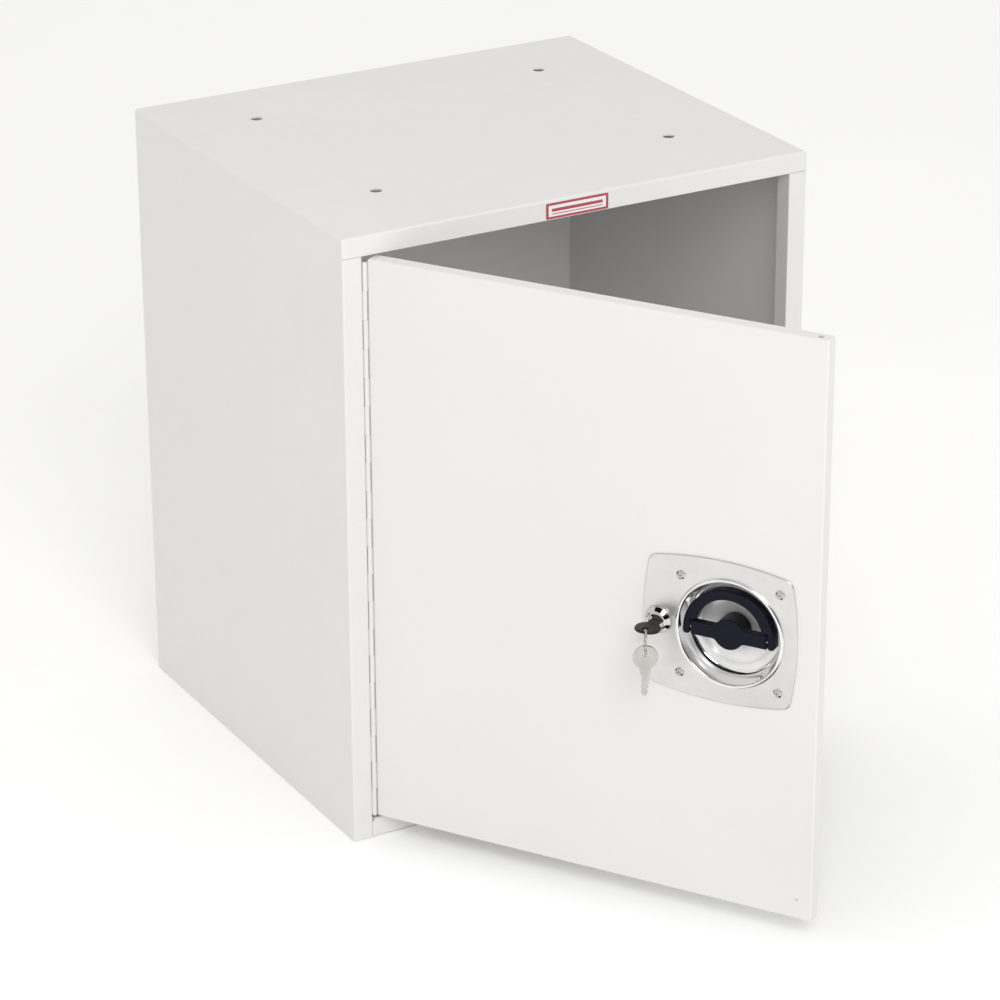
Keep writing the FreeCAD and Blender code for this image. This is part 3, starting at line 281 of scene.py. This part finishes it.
WHITE = (0.72, 0.715, 0.705)
WHITE_SHADE = (0.705, 0.70, 0.69)
DISH_FLOOR_RADIUS = 0.0395
brush = dict(stretch=(0.03, 1, 1), turn=OPEN)
looks = {
    "cabinet_paint": powder_coat("cabinet_paint_look", WHITE, WHITE_SHADE),
    "door_paint": powder_coat("door_paint_look", WHITE, WHITE_SHADE, 0.4),
    "hinge_paint": powder_coat("hinge_paint_look", WHITE, WHITE_SHADE, 0.38),
    "hinge_pin_steel": metal(
        "hinge_pin_look", (0.5, 0.5, 0.49), (0.4, 0.4, 0.4), 0.3, 0.08),
    "label": label_print("label_look", "label_plate"),
    "rubber": moulded(
        "rubber_look", (0.03, 0.03, 0.03), (0.018, 0.018, 0.018), 0.75, 0.08),
    "brushed_plate": metal(
        "brushed_plate_look", (0.74, 0.73, 0.715), (0.68, 0.67, 0.66), 0.34, 0.07,
        scale=1500.0, anisotropy=0.5, **brush),
    "polished_dish": pressed_dish("polished_dish_look", DISH, DISH_FLOOR_RADIUS),
    "polished_lock": metal(
        "polished_lock_look", (0.66, 0.65, 0.635), (0.58, 0.57, 0.55), 0.08, 0.03, scale=300.0),
    "polished_fixings": metal(
        "polished_fixings_look", (0.62, 0.61, 0.60), (0.46, 0.46, 0.45), 0.16, 0.05),
    "zinc_fixings": metal(
        "zinc_fixings_look", (0.62, 0.63, 0.63), (0.48, 0.49, 0.49), 0.36, 0.08, scale=350.0),
    "zinc_cam": metal(
        "zinc_cam_look", (0.6, 0.61, 0.61), (0.46, 0.47, 0.47), 0.38, 0.08, scale=260.0),
    "handle_coating": moulded(
        "handle_coating_look", (0.0016, 0.0032, 0.012), (0.0008, 0.0018, 0.007), 0.36, 0.05,
        scale=1400.0, depth=0.00005, gloss=0.16),
    "key_plastic": moulded(
        "key_plastic_look", (0.014, 0.009, 0.007), (0.007, 0.005, 0.004), 0.3, 0.05, gloss=0.3),
    "ring_wire": metal("ring_wire_look", (0.6, 0.59, 0.57), (0.5, 0.49, 0.47), 0.22, 0.05),
    "key_nickel": metal(
        "key_nickel_look", (0.62, 0.60, 0.575), (0.47, 0.45, 0.425), 0.24, 0.08, scale=420.0),
}
slots = {part["node"]: part["material_slot"] for part in record["subparts"]}
for name, thing in frame["nodes"].items():
    thing.data.materials.clear()
    thing.data.materials.append(looks[slots[name]])


# ---------------------------------------------------------------- finer metal pieces

def finish_piece(name, mesh, slot, body, *nodes):
    """Link a mesh made in the row frame, give it its look, and let it stand for CAD nodes."""
    for face in mesh.polygons:
        face.use_smooth = True
    mesh.materials.append(looks[slot])
    thing = bpy.data.objects.new(name, mesh)
    bpy.context.scene.collection.objects.link(thing)
    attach(thing, body)
    if nodes:
        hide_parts(*nodes)
    return thing


def curve(middle_y, middle_r, wide_y, wide_r, start, end, steps):
    """Points (y, r) on an elliptic arc, angles in degrees from the +r direction towards -y."""
    points = []
    for i in range(steps + 1):
        angle = math.radians(start + (end - start) * i / steps)
        points.append((middle_y - wide_y * math.sin(angle), middle_r + wide_r * math.cos(angle)))
    return points


def lathed(name, centre, profile, slot, body, node, steps=192):
    """A closed (y, r) profile turned about the door's inward direction through a point."""
    mesh = bpy.data.meshes.new(name)
    count = len(profile)
    vertices = []
    for i in range(steps):
        angle = 2 * math.pi * i / steps
        for y, r in profile:
            local = Vector((centre.x + r * math.cos(angle), y, centre.z + r * math.sin(angle)))
            vertices.append(DOOR @ (local / MM))
    faces = []
    for i in range(steps):
        near, far = i * count, (i + 1) % steps * count
        for k in range(count):
            after = (k + 1) % count
            faces.append((near + k, far + k, far + after, near + after))
    mesh.from_pydata(vertices, [], faces)
    made = bmesh.new()
    made.from_mesh(mesh)
    bmesh.ops.recalc_face_normals(made, faces=made.faces)
    made.to_mesh(mesh)
    made.free()
    return finish_piece(name, mesh, slot, body, node)


def dish_profile():
    """Rolled rim, straight wall, round foot and a floor with a raised middle, as (y, r)."""
    low, high = door_span("handle_dish")
    front, back, rim = low.y, high.y, (high.x - low.x) / 2
    bead_depth, bead_half, gauge = 1.8, 1.9, 0.8
    bend, step, bore = 6.5, 1.0, 7.0
    wall, mouth = rim - 6.0, rim - 2 * bead_half
    sheet_top, deep = front + bead_depth, back - gauge
    raised = deep - step
    points = curve(sheet_top, rim - bead_half, bead_depth, bead_half, 0, 180, 24)
    points += curve(deep - bend, wall - bend, bend, bend, -2, -90, 24)
    points += [(deep, 33.6), (deep - 0.15, 33.1), (deep - 0.85, 32.2), (raised, 31.7),
               (raised, bore), (raised + gauge, bore), (raised + gauge, 31.5),
               (deep + gauge, 33.2)]
    points += curve(deep - bend, wall - bend, bend + gauge, bend + gauge, -90, -2, 24)
    points += [(sheet_top, mouth + gauge), (sheet_top, rim - 0.2)]
    return points


def collar_profile():
    """Round skirt edge, domed face and a bore for the plug, as (y, r)."""
    low, high = door_span("lock_body")
    front, back = low.y, high.y
    proud, skirt_radius, barrel, bore = 6.5, 12.0, 9.4, 6.05
    edge_round, edge_middle, dome_middle = 1.4, 10.6, 6.3
    skirt = front + proud
    points = curve(skirt - edge_round, edge_middle, edge_round, edge_round, 0, 60, 8)
    points += curve(skirt - 1.8, dome_middle, 4.6, 4.2, 52, 84, 18)
    points += [(front + 0.1, 6.2), (front + 0.3, bore), (back, bore), (back, barrel),
               (skirt, barrel), (skirt, skirt_radius)]
    return points


lathed("handle_dish_drawn", DISH, dish_profile(), "polished_dish", "door", "handle_dish")
lathed("lock_collar_turned", LOCK, collar_profile(), "polished_lock", "door", "lock_body", 128)


def split_ring():
    """Two close turns of wire with both ends showing, in place of the plain hoop."""
    node = frame["nodes"]["key_ring"]
    points = [TO_DOOR @ vertex.co * MM for vertex in node.data.vertices]
    top, bottom = max(p.z for p in points), min(p.z for p in points)
    middle = sum(points, Vector()) / len(points)
    middle.z = (top + bottom) / 2
    out = middle - BOW
    out.z = 0
    out.normalize()
    side = out.cross(Vector((0, 0, 1)))
    wire, turns, start, crossing = 0.42, 1.94, 0.5, 9
    radius = (top - bottom) / 2 - wire
    steps, sides = 176, 12
    mesh = bpy.data.meshes.new("split_ring_wire")
    vertices, faces = [], []
    for i in range(steps + 1):
        angle = 2 * math.pi * turns * i / steps + start
        shift = max(-1.0, min(1.0, (i / steps - 0.5) * crossing)) * wire
        radial = out * math.cos(angle) + Vector((0, 0, 1)) * math.sin(angle)
        centre = middle + radial * radius + side * shift
        ends = min(i, steps - i)
        thick = wire * (0.3 + 0.7 * min(1.0, ends / 2))
        for k in range(sides):
            round_it = 2 * math.pi * k / sides
            across = radial * math.cos(round_it) + side * math.sin(round_it)
            vertices.append(DOOR @ ((centre + across * thick) / MM))
    for i in range(steps):
        for k in range(sides):
            after = (k + 1) % sides
            near, far = i * sides, (i + 1) * sides
            faces.append((near + k, near + after, far + after, far + k))
    faces.append(tuple(range(sides)))
    faces.append(tuple(reversed(range(steps * sides, (steps + 1) * sides))))
    mesh.from_pydata(vertices, [], faces)
    return finish_piece("split_ring_wire", mesh, "ring_wire", "split_ring", "key_ring")


split_ring()

# ---------------------------------------------------------------- floor, light, camera

FLOOR_SIZE = 60.0
FLOOR_DROP = 0.0004
WORLD_STRENGTH = 0.88
KEY_PLACE, KEY_TARGET = (-1.0, -3.0, 2.4), (0, 0, 0.2)
KEY_WIDTH, KEY_HEIGHT, KEY_POWER = 1.8, 1.6, 47


def stage_plane(name, width, height, look):
    """Flat rectangle about its own middle that isn't part of the object."""
    x, y = width / 2, height / 2
    mesh = bpy.data.meshes.new(name)
    mesh.from_pydata([(-x, -y, 0), (x, -y, 0), (x, y, 0), (-x, y, 0)], [], [(0, 1, 2, 3)])
    mesh.materials.append(look)
    thing = bpy.data.objects.new(name, mesh)
    bpy.context.scene.collection.objects.link(thing)
    return thing


floor_look, floor_tree, floor_shader = new_material("floor_look")
floor_shader.inputs["Roughness"].default_value = 0.9
floor_shader.inputs["Specular IOR Level"].default_value = 0.1
floor_tree.links.new(
    blend_colour(floor_tree, span(floor_tree, noise(floor_tree, place(floor_tree), 3.0), 0, 1),
                 (0.985, 0.985, 0.985), (0.995, 0.995, 0.995)),
    floor_shader.inputs["Base Color"])
floor = stage_plane("floor", FLOOR_SIZE, FLOOR_SIZE, floor_look)
floor.location.z = -FLOOR_DROP

world = bpy.data.worlds.new("studio")
bpy.context.scene.world = world
world.use_nodes = True
world.node_tree.nodes["Background"].inputs[0].default_value = (1, 0.995, 0.985, 1)
world.node_tree.nodes["Background"].inputs[1].default_value = WORLD_STRENGTH


def softbox(name, location, target, width, height, power):
    light = bpy.data.lights.new(name, "AREA")
    light.shape = "RECTANGLE"
    light.size = width
    light.size_y = height
    light.energy = power
    thing = bpy.data.objects.new(name, light)
    bpy.context.scene.collection.objects.link(thing)
    thing.location = location
    thing.rotation_euler = (Vector(target) - Vector(location)).to_track_quat("-Z", "Y").to_euler()
    return thing


softbox("key", KEY_PLACE, KEY_TARGET, KEY_WIDTH, KEY_HEIGHT, KEY_POWER)


card_look, card_tree, card_shader = new_material("card_look")
card_shader.inputs["Base Color"].default_value = (0.004, 0.004, 0.004, 1)
card_shader.inputs["Roughness"].default_value = 1.0
card_shader.inputs["Specular IOR Level"].default_value = 0.0


def dark_card(name, away, distance, width, height):
    """Black card that only reflections see, facing the dish. The way is in the door's frame."""
    direction = (DOOR.to_3x3() @ Vector(away)).normalized()
    thing = stage_plane(name, width, height, card_look)
    thing.location = DOOR @ (DISH / MM) + direction * distance
    thing.rotation_euler = direction.to_track_quat("Z", "Y").to_euler()
    for ray in ("camera", "diffuse", "transmission", "volume_scatter", "shadow"):
        setattr(thing, "visible_" + ray, False)


dark_card("card_high", (-0.25, -0.55, 0.8), 1.2, 1.0, 0.35)
dark_card("card_front", (0.66, -0.68, 0.30), 1.4, 0.85, 0.8)
dark_card("card_side", (0.95, -0.32, 0.1), 1.1, 0.3, 1.2)
dark_card("card_left", (-0.9, -0.45, -0.25), 1.1, 0.35, 1.0)
dark_card("card_low", (0.25, -0.45, -0.85), 0.27, 0.3, 0.12)

CAMERA_PLACE = (-1.5870, -2.8677, 1.6263)
CAMERA_YAW, CAMERA_PITCH, CAMERA_ROLL = 29.479, 23.517, -0.247
CAMERA_LENS, CAMERA_SENSOR, CAMERA_REACH = 139.21, 36.0, 100
camera = bpy.data.cameras.new("camera")
camera.lens = CAMERA_LENS
camera.sensor_width = CAMERA_SENSOR
eye = bpy.data.objects.new("camera", camera)
bpy.context.scene.collection.objects.link(eye)
yaw, pitch, roll = map(math.radians, (CAMERA_YAW, CAMERA_PITCH, CAMERA_ROLL))
forward = Vector((math.sin(yaw) * math.cos(pitch), math.cos(yaw) * math.cos(pitch),
                  -math.sin(pitch)))
right = Vector((math.cos(yaw), -math.sin(yaw), 0))
up = right.cross(forward)
turned_right = right * math.cos(roll) + up * math.sin(roll)
turned_up = up * math.cos(roll) - right * math.sin(roll)
pose = Matrix((turned_right, turned_up, -forward)).transposed().to_4x4()
pose.translation = CAMERA_PLACE
eye.matrix_world = pose
camera.clip_end = CAMERA_REACH
bpy.context.scene.camera = eye
bpy.context.scene.view_settings.view_transform = "Standard"
